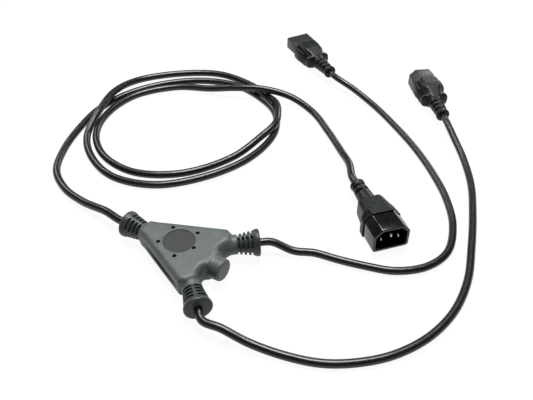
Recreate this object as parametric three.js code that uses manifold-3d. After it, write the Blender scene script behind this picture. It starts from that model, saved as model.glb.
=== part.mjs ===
// Power cord splitter: one inlet plug feeds two outlet connectors through a moulded three-way junction.
// Millimetres, +Z up, floor at z = 0, origin under the middle of the junction, +X towards its blank stub.
import * as THREE from 'three';
import { mergeVertices } from 'three/addons/utils/BufferGeometryUtils.js';
import Module from 'manifold-3d';

const wasm = await Module();
wasm.setup();

// Clearances
const gap = 0.3;
const cutThrough = 0.5;

// Cords and the three insulated cores inside each of them
const mainCordDiameter = 6.4;
const branchCordDiameter = 6.0;
const coreDiameter = 2.0;
const coreSpacing = 0.4;
const coreBoreClearance = 0.35;
const mainCordSteps = 80;
const branchCordSteps = 24;
const cordSides = 10;
const cordLead = 9;
const cordFloorClearance = 0.3;
const coreSides = 8;

// Junction body
const armAngle = 40;
const inputReach = 53;
const outputReach = 58;
const collarRadius = 10.3;
const neckRadius = 7.3;
const glandLength = 17;
const collarLength = 4.2;
const collarStep = 0.9;
const collarEdge = 0.7;
const armRootReach = 14;
const armRootLength = 18;
const slabHalfThickness = 9.2;
const slabEdgeRound = 4;
const stubRadius = 8.3;
const stubReach = 38.5;
const stubEdgeRound = 1.2;
const stubRootReach = 16;
const stubRootLength = 12;
const discRadius = 11.8;
const discDepth = 0.5;
const pinHoleRadius = 1.25;
const pinHoleDepth = 2.6;
const pinHoleRing = 15;
const frontPinHoleRing = 13;
const pinHoleAngles = [65, 145, -145, -65];
const sideGrooveHeight = 7;
const sideGrooveEndHeight = 1.2;
const sideGrooveEndDepth = 0.2;
const sideGrooveDepth = 1.4;
const sideGrooveDrop = 0.8;
const sideGrooveStart = -27;
const sideGrooveEnd = 21;

// Outline of the slab, one half, from the input gland round to the stub
const slabHalfOutline = [
  [-33, 6.8], [-26, 8.1], [22.5, 29.5], [28, 27.5], [31, 20.5], [27.5, 14.5], [27.5, 9.5], [31, 7.2],
];

// Slots that let a strain relief bend, between ribs at its top, bottom and sides
const slotWidth = 1.5;
const glandSlotPitch = 3.2;
const glandSlotCount = 4;
const glandSlotFloor = 5.2;
const slotHalfAngle = 32;
const slotTurns = [45, 135, 225, 315];

// Splices and the block that holds them inside the junction
const spliceLength = 12;
const spliceWidth = 5.0;
const spliceHeight = 2.8;
const splicePitch = 4.2;
const spliceEndX = 0;
const splicedCoreOffset = 1.25;
const carrierWall = 1.6;
const carrierFloor = 0.7;
const carrierSide = 3.9;
const funnelHalfWidth = 3.2;
const funnelHalfWidthAtHub = 4.8;
const funnelReach = 33;
const funnelFlare = 0.6;
const coreGatherReach = 30;
const coreSpreadReach = 19;
const bendHandleShare = 0.4;

// Inlet plug: a glossy pin shroud in a moulded body
const plugLength = 65;
const plugReliefLength = 27;
const plugReliefRearRadius = 5.4;
const plugReliefFrontRadius = 7.3;
const hoodHalfWidth = 15.8;
const hoodHalfHeight = 11.9;
const hoodChamfer = 7.4;
const hoodRear = 40;
const hoodFront = 47.5;
const blockHalfWidthRear = 10.4;
const blockHalfWidthFront = 12.3;
const blockHalfHeightRear = 8.6;
const blockHalfHeightFront = 10.6;
const blockChamfer = 3.2;
const shroudWidth = 29;
const shroudHeight = 21;
const shroudChamfer = 6.0;
const shroudWall = 2.2;
const shroudCorner = 2.4;
const recessDepth = 17;
const shroudBase = 3.4;
const hoodLip = 4.6;
const hoodClearance = 0.7;

// Pins, standard places and sections
const pinHalfSpacing = 7.0;
const earthOffset = 4.0;
const pinThickness = 2.0;
const pinBladeHeight = 4.0;
const pinReach = 14;
const earthPinReach = 16;
const pinTipLength = 1.6;
const pinTipShrink = 0.5;
const pinTailLength = 6;
const pinTailRadius = 1.25;

// Outlet connectors: a nose that fits the inlet's recess, in a moulded body
const connectorLength = 69;
const noseWidth = 24;
const noseHeight = 16;
const noseLength = 18;
const noseChamfer = 5.4;
const noseCorner = 1.2;
const lobeHalfWidth = 14;
const lobeHalfHeight = 8.4;
const spineHalfWidth = 9.6;
const spineHalfHeight = 10.9;
const spineChamfer = 2.4;
const bodyRear = 28;
const lobeRear = 31.5;
const earHalfWidth = 12.8;
const earHalfHeight = 7.4;
const earRear = 22.5;
const earFront = 31;
const connectorReliefRearRadius = 5.2;
const connectorReliefFrontRadius = 7.2;
const reliefRingRadius = 6.1;
const reliefRingLength = 3.2;
const slotLength = 4.7;
const slotThickness = 2.6;
const contactLength = 13;
const contactWall = 0.7;
const contactFromFace = 2.2;
const barrelLength = 5;
const barrelRadius = 1.3;

// Slots of the plug's and the connectors' strain reliefs
const reliefSlotPitch = 5.4;
const reliefSlotCount = 3;
const reliefSlotStart = 5.6;
const reliefSlotDepth = 1.7;

// The part of an insert that sits in its overmoulded body
const insertRootLength = 10;
const plugRootLength = 6;
const insertRootHalfWidth = 10;
const insertRootHalfHeight = 6.4;
const coreRoomLength = 9;
const coreRoomHalfWidth = 9.3;
const coreRoomHalfHeight = 5.3;
const coreRoomFlare = 1.4;

// Where the loose ends lie: the point where the cord enters each one, and the way its face points
const plugPlace = { x: 76.1, y: 132.7, turn: -40, roll: 0 };
const connectorAPlace = { x: -23.8, y: 274.1, turn: 149.5, roll: 180 };
const connectorBPlace = { x: 98.6, y: 262.8, turn: 130, roll: 0 };

// Cord routes, chosen by hand, out from the junction: a point on the floor, and how far the cord lifts there
const mainRoute = [
  [-72.5, 2.5, 6], [-100.5, 5.5, 1.6], [-126, 10.5, 0], [-148, 24, 0], [-164, 47.5, 0],
  [-175.5, 76.5, 0], [-182, 109, 0], [-178, 142, 0], [-160, 176, 0], [-131, 202, 0], [-97, 213, 0],
  [-65, 208, 0], [-40, 192, 0], [-23, 165, 0], [-21, 124, 0], [-37, 85, 0], [-66, 53, 0], [-102, 42, 0],
  [-135, 51.5, 0], [-159.5, 71.5, 1.4], [-172, 102, 6.8], [-182, 134, 6.8], [-182.5, 168, 1.4],
  [-158.5, 202.5, 0], [-122, 221, 0], [-86, 221.5, 0], [-62, 215, 0.1], [-44.5, 206, 2.6],
  [-30.5, 188.5, 6.4], [-24, 170.5, 6.8], [-26, 150, 4.2], [-34, 116.5, 0], [-58, 76.5, 0],
  [-92.5, 57, 0], [-128, 60, 0], [-155.5, 79.5, 0], [-170, 109.5, 0], [-168, 147, 0], [-143.5, 180, 0],
  [-113, 193, 1.8], [-88, 201, 6.7], [-64, 212, 7.8], [-38, 220, 3.8], [-10, 214, 0.2], [18, 194, 0],
  [42, 171.5, 1.6], [56, 155, 5.6],
];
const branchARoute = [
  [68, 49, 2.2], [83, 53.5, 0], [101, 57.5, 0], [119.5, 63, 0], [139.5, 71, 0], [156.5, 86.5, 0],
  [164, 108, 0], [157, 138, 0], [141, 165, 0], [119, 190, 0], [94, 213, 0], [66, 234, 0],
  [36, 253, 0.6], [7, 264, 4.4],
];
const branchBRoute = [
  [66.5, -44, 5.4], [87.5, -40, 2.4], [111.5, -33, 0.6], [134.5, -25, 0], [155, -11.5, 0], [171, 6, 0],
  [182.5, 29.5, 0], [188, 58, 0], [187, 90, 0], [178, 125, 0], [166, 159, 0], [152, 192, 0],
  [135, 220, 1.2], [117, 241.5, 4.8],
];

// Materials
function finish(colour, roughness, metalness = 0) {
  return { colour, roughness, metalness };
}
const junctionFinish = finish(0x4b4f4c, 0.62);
const overmouldFinish = finish(0x2b2e2c, 0.5);
const shroudFinish = finish(0x191b1a, 0.22);
const cordFinish = finish(0x1e201f, 0.34);
const carrierFinish = finish(0xcfcac0, 0.55);
const tinFinish = finish(0xc9c7c0, 0.3, 1);
const brassFinish = finish(0xb99a55, 0.35, 1);
const coreFinishes = {
  earth: finish(0x6f9a3a, 0.5),
  live: finish(0x5f3a22, 0.5),
  neutral: finish(0x2f5f9f, 0.5),
};

// Solids: a closed geometry made ready for joining and cutting, and back again
function solid(geometry) {
  const bare = geometry.clone();
  bare.deleteAttribute('normal');
  bare.deleteAttribute('uv');
  const merged = mergeVertices(bare, 1e-4);
  const vertProperties = new Float32Array(merged.attributes.position.array);
  const triVerts = new Uint32Array(merged.index.array);
  return new wasm.Manifold(new wasm.Mesh({ numProp: 3, vertProperties, triVerts }));
}

function geometryOf(body) {
  const mesh = body.getMesh();
  const positions = new Float32Array(mesh.numVert * 3);
  for (let i = 0; i < mesh.numVert; i += 1) {
    for (let k = 0; k < 3; k += 1) positions[3 * i + k] = mesh.vertProperties[mesh.numProp * i + k];
  }
  const geometry = new THREE.BufferGeometry();
  geometry.setAttribute('position', new THREE.BufferAttribute(positions, 3));
  geometry.setIndex(new THREE.BufferAttribute(new Uint32Array(mesh.triVerts), 1));
  return geometry;
}

function joined(bodies) {
  return bodies.reduce((whole, body) => whole.add(body));
}

function cut(body, cutters) {
  return cutters.reduce((rest, cutter) => rest.subtract(cutter), body);
}

// A box given by its lowest and highest corners
function box(low, high) {
  const size = high.map((value, k) => value - low[k]);
  const geometry = new THREE.BoxGeometry(...size);
  geometry.translate(...low.map((value, k) => value + size[k] / 2));
  return geometry;
}

// A turned piece on the X axis, from [x, radius] pairs
function turned(profile, segments) {
  const first = new THREE.Vector2(0, profile[0][0]);
  const last = new THREE.Vector2(0, profile[profile.length - 1][0]);
  const points = [first, ...profile.map(([x, radius]) => new THREE.Vector2(radius, x)), last];
  const geometry = new THREE.LatheGeometry(points, segments);
  geometry.rotateZ(-Math.PI / 2);
  return geometry;
}

// A straight rod on the X axis
function rod(fromX, toX, radius, segments = 16) {
  return turned([[fromX, radius], [toX, radius]], segments);
}

// A skin over rings of points, each ring counter-clockwise as seen from +X, capped at both ends
function lofted(rings) {
  const count = rings[0].length;
  const positions = rings.flat().flat();
  const triangles = [];
  for (let r = 0; r + 1 < rings.length; r += 1) {
    for (let i = 0; i < count; i += 1) {
      const a = r * count + i;
      const b = r * count + ((i + 1) % count);
      triangles.push(a, b, a + count, b, b + count, a + count);
    }
  }
  const top = (rings.length - 1) * count;
  for (let i = 1; i + 1 < count; i += 1) {
    triangles.push(0, i + 1, i);
    triangles.push(top, top + i, top + i + 1);
  }
  const geometry = new THREE.BufferGeometry();
  geometry.setAttribute('position', new THREE.Float32BufferAttribute(positions, 3));
  geometry.setIndex(triangles);
  return geometry;
}

// A point at a radius and an angle round the X axis
function polar(x, radius, degrees) {
  const angle = THREE.MathUtils.degToRad(degrees);
  return [x, radius * Math.cos(angle), radius * Math.sin(angle)];
}

// Ring across the X axis with two large chamfers at the top and two small ones at the bottom
function keyedRing(x, halfWidth, halfHeight, chamfer, corner) {
  return [
    [x, -halfWidth + corner, -halfHeight], [x, halfWidth - corner, -halfHeight],
    [x, halfWidth, -halfHeight + corner], [x, halfWidth, halfHeight - chamfer],
    [x, halfWidth - chamfer, halfHeight], [x, -halfWidth + chamfer, halfHeight],
    [x, -halfWidth, halfHeight - chamfer], [x, -halfWidth, -halfHeight + corner],
  ];
}

// Ring across the X axis, between an ellipse and a rectangle
function softRing(x, halfWidth, halfHeight, squareness = 0.62, points = 20) {
  return Array.from({ length: points }, (_, i) => {
    const angle = (2 * Math.PI * (i + 0.5)) / points;
    const c = Math.cos(angle);
    const s = Math.sin(angle);
    const across = Math.sign(c) * Math.abs(c) ** squareness;
    const up = Math.sign(s) * Math.abs(s) ** squareness;
    return [x, halfWidth * across, halfHeight * up];
  });
}

// Bending slots, four round the axis at each start, with plain ribs left at the top, bottom and sides
function slotCutters(starts, radiusAt, floorAt) {
  const spread = [-slotHalfAngle, 0, slotHalfAngle];
  return starts.flatMap((start) => slotTurns.map((turn) => {
    const outer = (radiusAt(start) + cutThrough) / Math.cos(THREE.MathUtils.degToRad(slotHalfAngle));
    const ring = (x) => [
      ...spread.map((angle) => polar(x, outer, turn + angle)),
      ...[...spread].reverse().map((angle) => polar(x, floorAt(start), turn + angle)),
    ];
    return solid(lofted([ring(start), ring(start + slotWidth)]));
  }));
}

// The bundle of three cores: where each one lies across its cord
const bundleRadius = (coreDiameter + coreSpacing) / Math.sqrt(3);
const bundle = {
  earth: [0, bundleRadius],
  live: [bundleRadius * Math.sin(Math.PI / 3), -bundleRadius / 2],
  neutral: [-bundleRadius * Math.sin(Math.PI / 3), -bundleRadius / 2],
};
const coreBoreRadius = bundleRadius + coreDiameter / 2 + coreBoreClearance;

// A round tube along a smooth curve through points
function tube(points, diameter, sides, steps) {
  const section = new THREE.Shape();
  for (let i = 0; i < sides; i += 1) {
    const angle = (2 * Math.PI * i) / sides;
    const x = (diameter / 2) * Math.cos(angle);
    const y = (diameter / 2) * Math.sin(angle);
    if (i === 0) section.moveTo(x, y);
    else section.lineTo(x, y);
  }
  section.closePath();
  const path = new THREE.CatmullRomCurve3(points.map((point) => new THREE.Vector3(...point)));
  return new THREE.ExtrudeGeometry(section, { steps, bevelEnabled: false, extrudePath: path });
}

const splitter = new THREE.Group();

function addPiece(parent, name, geometry, look) {
  const bare = geometry.clone();
  bare.deleteAttribute('uv');
  bare.deleteAttribute('normal');
  const flat = bare.index ? bare.toNonIndexed() : bare;
  flat.computeVertexNormals();
  const material = new THREE.MeshStandardMaterial({
    color: look.colour, roughness: look.roughness, metalness: look.metalness,
  });
  const mesh = new THREE.Mesh(flat, material);
  mesh.name = name;
  parent.add(mesh);
  return mesh;
}

// Junction, modelled about the hub where the arms meet, with X along the input arm and the stub
const armTurn = THREE.MathUtils.degToRad(armAngle);
const outputFarX = outputReach * Math.cos(armTurn) + (collarRadius - collarEdge) * Math.sin(armTurn);
const hubX = (inputReach - outputFarX) / 2;
const arms = [
  { name: 'input', turn: Math.PI, reach: inputReach },
  { name: 'output_a', turn: armTurn, reach: outputReach },
  { name: 'output_b', turn: -armTurn, reach: outputReach },
];
const junction = new THREE.Group();
junction.position.set(hubX, 0, collarRadius);
splitter.add(junction);

function glandRadius(x, reach) {
  const start = reach - glandLength;
  const end = reach - collarLength;
  const share = THREE.MathUtils.clamp((x - start) / (end - start), 0, 1);
  return neckRadius + (collarRadius - collarStep - neckRadius) * share;
}

function armSolid(arm) {
  const start = arm.reach - glandLength;
  const collar = arm.reach - collarLength;
  const profile = [
    [armRootReach, slabHalfThickness], [armRootReach + armRootLength, neckRadius + 0.4], [start, neckRadius],
    [collar, collarRadius - collarStep], [collar + 1, collarRadius - collarStep / 3],
    [arm.reach - 1.4, collarRadius], [arm.reach - 0.5, collarRadius - 0.15],
    [arm.reach, collarRadius - collarEdge],
  ];
  const starts = Array.from({ length: glandSlotCount }, (_, i) => start + 0.6 + i * glandSlotPitch);
  const floorAt = (x) => glandRadius(x, arm.reach) - (neckRadius - glandSlotFloor);
  const slots = slotCutters(starts, (x) => glandRadius(x, arm.reach) + 1, floorAt);
  return cut(solid(turned(profile, 28)), slots).rotate([0, 0, THREE.MathUtils.radToDeg(arm.turn)]);
}

function slabSolid() {
  const upper = slabHalfOutline;
  const lower = [...slabHalfOutline].reverse().map(([x, y]) => [x, -y]);
  const outline = new THREE.Shape([...lower, ...upper].map(([x, y]) => new THREE.Vector2(x, y)));
  const geometry = new THREE.ExtrudeGeometry(outline, {
    depth: 2 * (slabHalfThickness - slabEdgeRound),
    bevelEnabled: true,
    bevelThickness: slabEdgeRound,
    bevelSize: slabEdgeRound,
    bevelOffset: -slabEdgeRound,
    bevelSegments: 3,
  });
  geometry.translate(0, 0, -(slabHalfThickness - slabEdgeRound));
  return solid(geometry);
}

function stubSolid() {
  const profile = [
    [stubRootReach, slabHalfThickness], [stubRootReach + stubRootLength, stubRadius],
    [stubReach - stubEdgeRound, stubRadius],
    [stubReach - stubEdgeRound * 0.3, stubRadius - stubEdgeRound * 0.3],
    [stubReach, stubRadius - stubEdgeRound],
  ];
  return solid(turned(profile, 28));
}

// Long shallow grooves in the two slanting side walls, tapered at both ends like a lens
function sideGrooves() {
  const [, [x0, y0], [x1, y1]] = slabHalfOutline;
  const slant = Math.atan2(y1 - y0, x1 - x0);
  const grooves = [];
  for (const side of [1, -1]) {
    const wallAt = (x) => y0 + (x - x0) * Math.tan(slant);
    const middle = (sideGrooveStart + sideGrooveEnd) / 2;
    const length = (sideGrooveEnd - sideGrooveStart) / Math.cos(slant);
    const ring = (x, depth, height) => {
      const walls = side > 0 ? [-depth, sideGrooveDepth] : [-sideGrooveDepth, depth];
      const levels = [-height / 2 - sideGrooveDrop, height / 2 - sideGrooveDrop];
      return [
        [x, walls[0], levels[0]], [x, walls[1], levels[0]],
        [x, walls[1], levels[1]], [x, walls[0], levels[1]],
      ];
    };
    const groove = lofted([
      ring(-length / 2, sideGrooveEndDepth, sideGrooveEndHeight),
      ring(-length / 6, sideGrooveDepth, sideGrooveHeight),
      ring(length / 6, sideGrooveDepth, sideGrooveHeight),
      ring(length / 2, sideGrooveEndDepth, sideGrooveEndHeight),
    ]);
    groove.rotateZ(side * slant);
    groove.translate(middle, side * wallAt(middle), 0);
    grooves.push(solid(groove));
  }
  return grooves;
}

const carrierHalfHeight = splicePitch + spliceHeight / 2 + gap + carrierFloor;
const carrierHalfWidth = spliceWidth / 2 + gap + carrierSide;
const carrierRear = spliceEndX - spliceLength - carrierWall;
const carrierFront = spliceEndX + carrierWall;

// The hollow inside: a pocket for the splice block, a funnel and a bore for the cores of each arm
function junctionHollow() {
  const pocket = solid(box(
    [carrierRear - gap, -carrierHalfWidth - gap, -carrierHalfHeight - gap],
    [carrierFront + gap, carrierHalfWidth + gap, carrierHalfHeight + gap],
  ));
  const bores = arms.map((arm) => {
    const tall = splicePitch + coreDiameter / 2 + coreBoreClearance;
    const start = arm.name === 'input' ? -carrierRear - 1 : 1;
    const funnel = lofted([
      keyedRing(start, funnelHalfWidthAtHub, tall, 1, 1),
      keyedRing(coreSpreadReach, funnelHalfWidth, tall, 1, 1),
      keyedRing(funnelReach, coreBoreRadius + funnelFlare, coreBoreRadius + funnelFlare, 0.8, 0.8),
    ]);
    const bore = rod(funnelReach - 4, arm.reach + cutThrough, coreBoreRadius, 16);
    return joined([solid(funnel), solid(bore)]).rotate([0, 0, THREE.MathUtils.radToDeg(arm.turn)]);
  });
  return joined([pocket, ...bores]);
}

function pinHoleCutters() {
  const places = pinHoleAngles.map((angle) => [pinHoleRing, THREE.MathUtils.degToRad(angle)]);
  places.push([frontPinHoleRing, 0]);
  return places.map(([ring, angle]) => {
    const hole = rod(0, pinHoleDepth + cutThrough, pinHoleRadius, 12);
    hole.rotateY(-Math.PI / 2);
    hole.translate(ring * Math.cos(angle), ring * Math.sin(angle), slabHalfThickness - pinHoleDepth);
    return solid(hole);
  });
}

function discCutter() {
  const disc = rod(0, discDepth + cutThrough, discRadius, 40);
  disc.rotateY(-Math.PI / 2);
  disc.translate(0, 0, slabHalfThickness - discDepth);
  return solid(disc);
}

const junctionOuter = joined([slabSolid(), stubSolid(), ...arms.map(armSolid)]);
const junctionCutters = [junctionHollow(), discCutter(), ...pinHoleCutters(), ...sideGrooves()];
const junctionBody = cut(junctionOuter, junctionCutters);
addPiece(junction, 'junction_overmould', geometryOf(junctionBody), junctionFinish);

// Splice block with a channel for each crimped splice, one above the other
const spliceLevels = { earth: splicePitch, live: 0, neutral: -splicePitch };
const carrierBody = cut(
  solid(box(
    [carrierRear, -carrierHalfWidth, -carrierHalfHeight],
    [carrierFront, carrierHalfWidth, carrierHalfHeight],
  )),
  Object.values(spliceLevels).map((z) => solid(box(
    [carrierRear - cutThrough, -spliceWidth / 2 - gap, z - spliceHeight / 2 - gap],
    [carrierFront + cutThrough, spliceWidth / 2 + gap, z + spliceHeight / 2 + gap],
  ))),
);
addPiece(junction, 'splice_carrier', geometryOf(carrierBody), carrierFinish);

for (const [wire, level] of Object.entries(spliceLevels)) {
  const splice = lofted([
    softRing(spliceEndX - spliceLength, spliceWidth / 2, spliceHeight / 2, 0.5, 16),
    softRing(spliceEndX, spliceWidth / 2, spliceHeight / 2, 0.5, 16),
  ]);
  splice.translate(0, 0, level);
  addPiece(junction, `${wire}_splice`, splice, tinFinish);
}

// Points of a smooth bend from one straight run of a core to the next, each run given by a point and a way
function bend(from, fromWay, to, toWay) {
  const a = new THREE.Vector3(...from);
  const d = new THREE.Vector3(...to);
  const handle = a.distanceTo(d) * bendHandleShare;
  const b = a.clone().addScaledVector(new THREE.Vector3(...fromWay), handle);
  const c = d.clone().addScaledVector(new THREE.Vector3(...toWay), -handle);
  return new THREE.CubicBezierCurve3(a, b, c, d).getPoints(4).map((point) => point.toArray());
}

// Cores of each arm: from the splice, gathered into a bundle, out to the end of the cord
for (const arm of arms) {
  const way = [Math.cos(arm.turn), Math.sin(arm.turn), 0];
  const along = (distance, side, z) => [
    distance * way[0] - side * way[1],
    distance * way[1] + side * way[0],
    z,
  ];
  const isInput = arm.name === 'input';
  const leaving = isInput ? -1 : 1;
  const spliceFace = isInput ? spliceEndX - spliceLength - gap : spliceEndX + gap;
  const carrierFace = isInput ? carrierRear - coreSpacing : carrierFront + coreSpacing;
  const offset = isInput ? 0 : Math.sign(arm.turn) * splicedCoreOffset;
  for (const [wire, [side, height]] of Object.entries(bundle)) {
    const level = spliceLevels[wire];
    const spread = along(coreSpreadReach, side, level);
    const route = [
      [spliceFace, offset, level],
      ...bend([carrierFace, offset, level], [leaving, 0, 0], spread, way),
      ...bend(spread, way, along(coreGatherReach, side, height), way).slice(1),
      along(coreGatherReach + coreDiameter, side, height),
      along(arm.reach, side, height),
    ];
    const core = tube(route, coreDiameter, coreSides, 12);
    addPiece(junction, `${arm.name}_${wire}_core`, core, coreFinishes[wire]);
  }
}

// A loose end's group: X runs from the cord out through the mating face, Z up, axis at the cord's height
function looseEnd(place, height) {
  const group = new THREE.Group();
  group.position.set(place.x, place.y, height);
  group.rotation.set(THREE.MathUtils.degToRad(place.roll), 0, THREE.MathUtils.degToRad(place.turn), 'ZYX');
  splitter.add(group);
  return group;
}

// Tapered strain relief of a loose end, with a ring where the cord leaves it
function reliefSolid(length, rearRadius, frontRadius) {
  const radiusAt = (x) => rearRadius + ((frontRadius - rearRadius) * x) / length;
  const profile = [
    [0, reliefRingRadius - 0.6], [0.6, reliefRingRadius], [reliefRingLength - 0.6, reliefRingRadius],
    [reliefRingLength, radiusAt(reliefRingLength)], [length, frontRadius],
  ];
  const starts = Array.from({ length: reliefSlotCount }, (_, i) => reliefSlotStart + i * reliefSlotPitch);
  const slots = slotCutters(starts, (x) => radiusAt(x) + 0.6, (x) => radiusAt(x) - reliefSlotDepth);
  return cut(solid(turned(profile, 24)), slots);
}

// The three cores of a loose end, from the end of the cord to the metal at rearX
function addLooseCores(group, prefix, rearX, targets) {
  const ahead = [1, 0, 0];
  const mirror = Math.sign(targets.live[0]);
  for (const [wire, [side, height]] of Object.entries(bundle)) {
    const [targetSide, targetHeight] = targets[wire];
    const roomStart = rearX - coreRoomLength;
    const bendStart = [roomStart, mirror * side, height];
    const bendEnd = [rearX - gap - 1, targetSide, targetHeight];
    const route = [
      [0, mirror * side, height],
      [roomStart - coreDiameter, mirror * side, height],
      ...bend(bendStart, ahead, bendEnd, ahead),
      [rearX - gap, targetSide, targetHeight],
    ];
    const core = tube(route, coreDiameter, coreSides, 10);
    addPiece(group, `${prefix}_${wire}_core`, core, coreFinishes[wire]);
  }
}

// Pocket in an overmoulded body: the insert's root, room for the cores to spread, and the bore
function bodyHollow(rootRear, front) {
  const halfWidth = insertRootHalfWidth + gap;
  const halfHeight = insertRootHalfHeight + gap;
  const roomRear = rootRear - pinTailLength - coreRoomLength - coreDiameter;
  const pocket = lofted([
    keyedRing(roomRear, coreBoreRadius + coreRoomFlare, coreBoreRadius + coreRoomFlare, 1, 1),
    keyedRing(rootRear - pinTailLength, coreRoomHalfWidth, coreRoomHalfHeight, 1, 1),
    keyedRing(rootRear, halfWidth, halfHeight, 1, 1),
    keyedRing(front, halfWidth, halfHeight, 1, 1),
  ]);
  return joined([solid(pocket), solid(rod(-cutThrough, roomRear + 2, coreBoreRadius, 16))]);
}

// Inlet plug
const plug = looseEnd(plugPlace, hoodHalfHeight);
const shroudRear = plugLength - recessDepth - shroudBase;
const plugRootRear = shroudRear - plugRootLength;
const shroudRing = (x, outset) => keyedRing(
  x, shroudWidth / 2 + outset, shroudHeight / 2 + outset, shroudChamfer, shroudCorner,
);
const blockRing = (x, halfWidth, halfHeight) => keyedRing(
  x, halfWidth, halfHeight, blockChamfer, blockChamfer * 0.6,
);
const plugOuter = joined([
  reliefSolid(plugReliefLength, plugReliefRearRadius, plugReliefFrontRadius),
  solid(lofted([
    blockRing(plugReliefLength - 2, blockHalfWidthRear, blockHalfHeightRear),
    blockRing(hoodRear + 1, blockHalfWidthFront, blockHalfHeightFront),
  ])),
  solid(lofted([
    blockRing(hoodRear - 1, blockHalfWidthFront, blockHalfHeightFront),
    keyedRing(hoodRear + 2, hoodHalfWidth - 0.6, hoodHalfHeight - 0.3, hoodChamfer, shroudCorner + 1),
    keyedRing(hoodFront, hoodHalfWidth, hoodHalfHeight, hoodChamfer, shroudCorner + 1),
  ])),
]);
const hoodMouth = solid(lofted([
  shroudRing(hoodFront - hoodLip, gap),
  shroudRing(hoodFront + cutThrough, hoodClearance),
]));
const plugBody = cut(plugOuter, [bodyHollow(plugRootRear, hoodFront), hoodMouth]);
addPiece(plug, 'plug_overmould', geometryOf(plugBody), overmouldFinish);

const contactPlaces = {
  earth: [0, earthOffset / 2],
  live: [pinHalfSpacing, -earthOffset / 2],
  neutral: [-pinHalfSpacing, -earthOffset / 2],
};

// The shroud starts where the hood's mouth ends, and its root sits in the body's pocket
const shroudStart = Math.max(shroudRear, hoodFront - hoodLip + gap);
const recessFloor = plugLength - recessDepth;
const pinPassage = ([side, height]) => solid(box(
  [plugRootRear - cutThrough, side - pinThickness / 2 - gap, height - pinBladeHeight / 2 - gap],
  [recessFloor + 1, side + pinThickness / 2 + gap, height + pinBladeHeight / 2 + gap],
));
const recessRing = (x) => keyedRing(
  x, shroudWidth / 2 - shroudWall, shroudHeight / 2 - shroudWall, shroudChamfer - shroudWall * 0.6, 1,
);
const shroudBody = cut(
  joined([
    solid(lofted([shroudRing(shroudStart, 0), shroudRing(plugLength, 0)])),
    solid(lofted([
      keyedRing(plugRootRear, insertRootHalfWidth, insertRootHalfHeight, 1, 1),
      keyedRing(shroudStart + 1, insertRootHalfWidth, insertRootHalfHeight, 1, 1),
    ])),
  ]),
  [
    solid(lofted([recessRing(recessFloor), recessRing(plugLength + cutThrough)])),
    ...Object.values(contactPlaces).map(pinPassage),
  ],
);
addPiece(plug, 'plug_shroud', geometryOf(shroudBody), shroudFinish);

// Pins: a blade with a tapered tip, and a round tail that takes its core
function pinGeometry(wire) {
  const reach = wire === 'earth' ? earthPinReach : pinReach;
  const tip = recessFloor + reach;
  const half = [pinThickness / 2, pinBladeHeight / 2];
  const blade = lofted([
    keyedRing(plugRootRear - 2 * gap, half[0], half[1], 0.2, 0.2),
    keyedRing(tip - pinTipLength, half[0], half[1], 0.2, 0.2),
    keyedRing(tip, half[0] - pinTipShrink, half[1] - pinTipShrink, 0.2, 0.2),
  ]);
  return geometryOf(joined([
    solid(blade), solid(rod(plugRootRear - pinTailLength, plugRootRear - gap, pinTailRadius, 12)),
  ]));
}
for (const [wire, [side, height]] of Object.entries(contactPlaces)) {
  const pin = pinGeometry(wire);
  pin.translate(0, side, height);
  addPiece(plug, `plug_${wire}_pin`, pin, tinFinish);
}
addLooseCores(plug, 'plug', plugRootRear - pinTailLength, contactPlaces);

// Outlet connector: nose and root in one insert, contacts inside it, and the moulded body behind
const shoulder = connectorLength - noseLength;
const connectorRootRear = shoulder - insertRootLength;
const socketPlaces = {
  earth: contactPlaces.earth,
  live: [-contactPlaces.live[0], contactPlaces.live[1]],
  neutral: [-contactPlaces.neutral[0], contactPlaces.neutral[1]],
};

function connectorOvermould() {
  const lobes = lofted([
    softRing(lobeRear, lobeHalfWidth * 0.6, lobeHalfHeight * 0.74),
    softRing(lobeRear + 1.5, lobeHalfWidth * 0.76, lobeHalfHeight * 0.86),
    softRing(lobeRear + 5, lobeHalfWidth * 0.93, lobeHalfHeight * 0.97),
    softRing(lobeRear + 9, lobeHalfWidth, lobeHalfHeight),
    softRing(shoulder - 4, lobeHalfWidth, lobeHalfHeight),
    softRing(shoulder - 1, lobeHalfWidth * 0.97, lobeHalfHeight * 0.97),
    softRing(shoulder, lobeHalfWidth * 0.91, lobeHalfHeight * 0.93),
  ]);
  const spine = lofted([
    keyedRing(bodyRear - 4, spineHalfWidth * 0.72, spineHalfHeight * 0.7, spineChamfer, spineChamfer),
    keyedRing(bodyRear + 2, spineHalfWidth * 0.9, spineHalfHeight * 0.92, spineChamfer, spineChamfer),
    keyedRing(bodyRear + 9, spineHalfWidth, spineHalfHeight, spineChamfer, spineChamfer),
    keyedRing(shoulder - 1.5, spineHalfWidth, spineHalfHeight, spineChamfer, spineChamfer),
    keyedRing(shoulder, spineHalfWidth - 0.8, spineHalfHeight - 1, spineChamfer, spineChamfer),
  ]);
  const ears = lofted([
    softRing(earRear, earHalfWidth * 0.8, earHalfHeight * 0.8),
    softRing(earRear + 1.6, earHalfWidth, earHalfHeight),
    softRing(earFront - 3, earHalfWidth, earHalfHeight),
    softRing(earFront, earHalfWidth * 0.8, earHalfHeight * 0.9),
  ]);
  const relief = reliefSolid(bodyRear - 1, connectorReliefRearRadius, connectorReliefFrontRadius);
  const outer = joined([relief, solid(ears), solid(lobes), solid(spine)]);
  return cut(outer, [bodyHollow(connectorRootRear, shoulder + cutThrough)]);
}

// A contact is a square spring sleeve with a round crimp barrel behind it
const sleeveHalf = [slotThickness / 2 + contactWall, slotLength / 2 + contactWall];
const sleeveFront = connectorLength - contactFromFace;
const sleeveRear = sleeveFront - contactLength;

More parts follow.
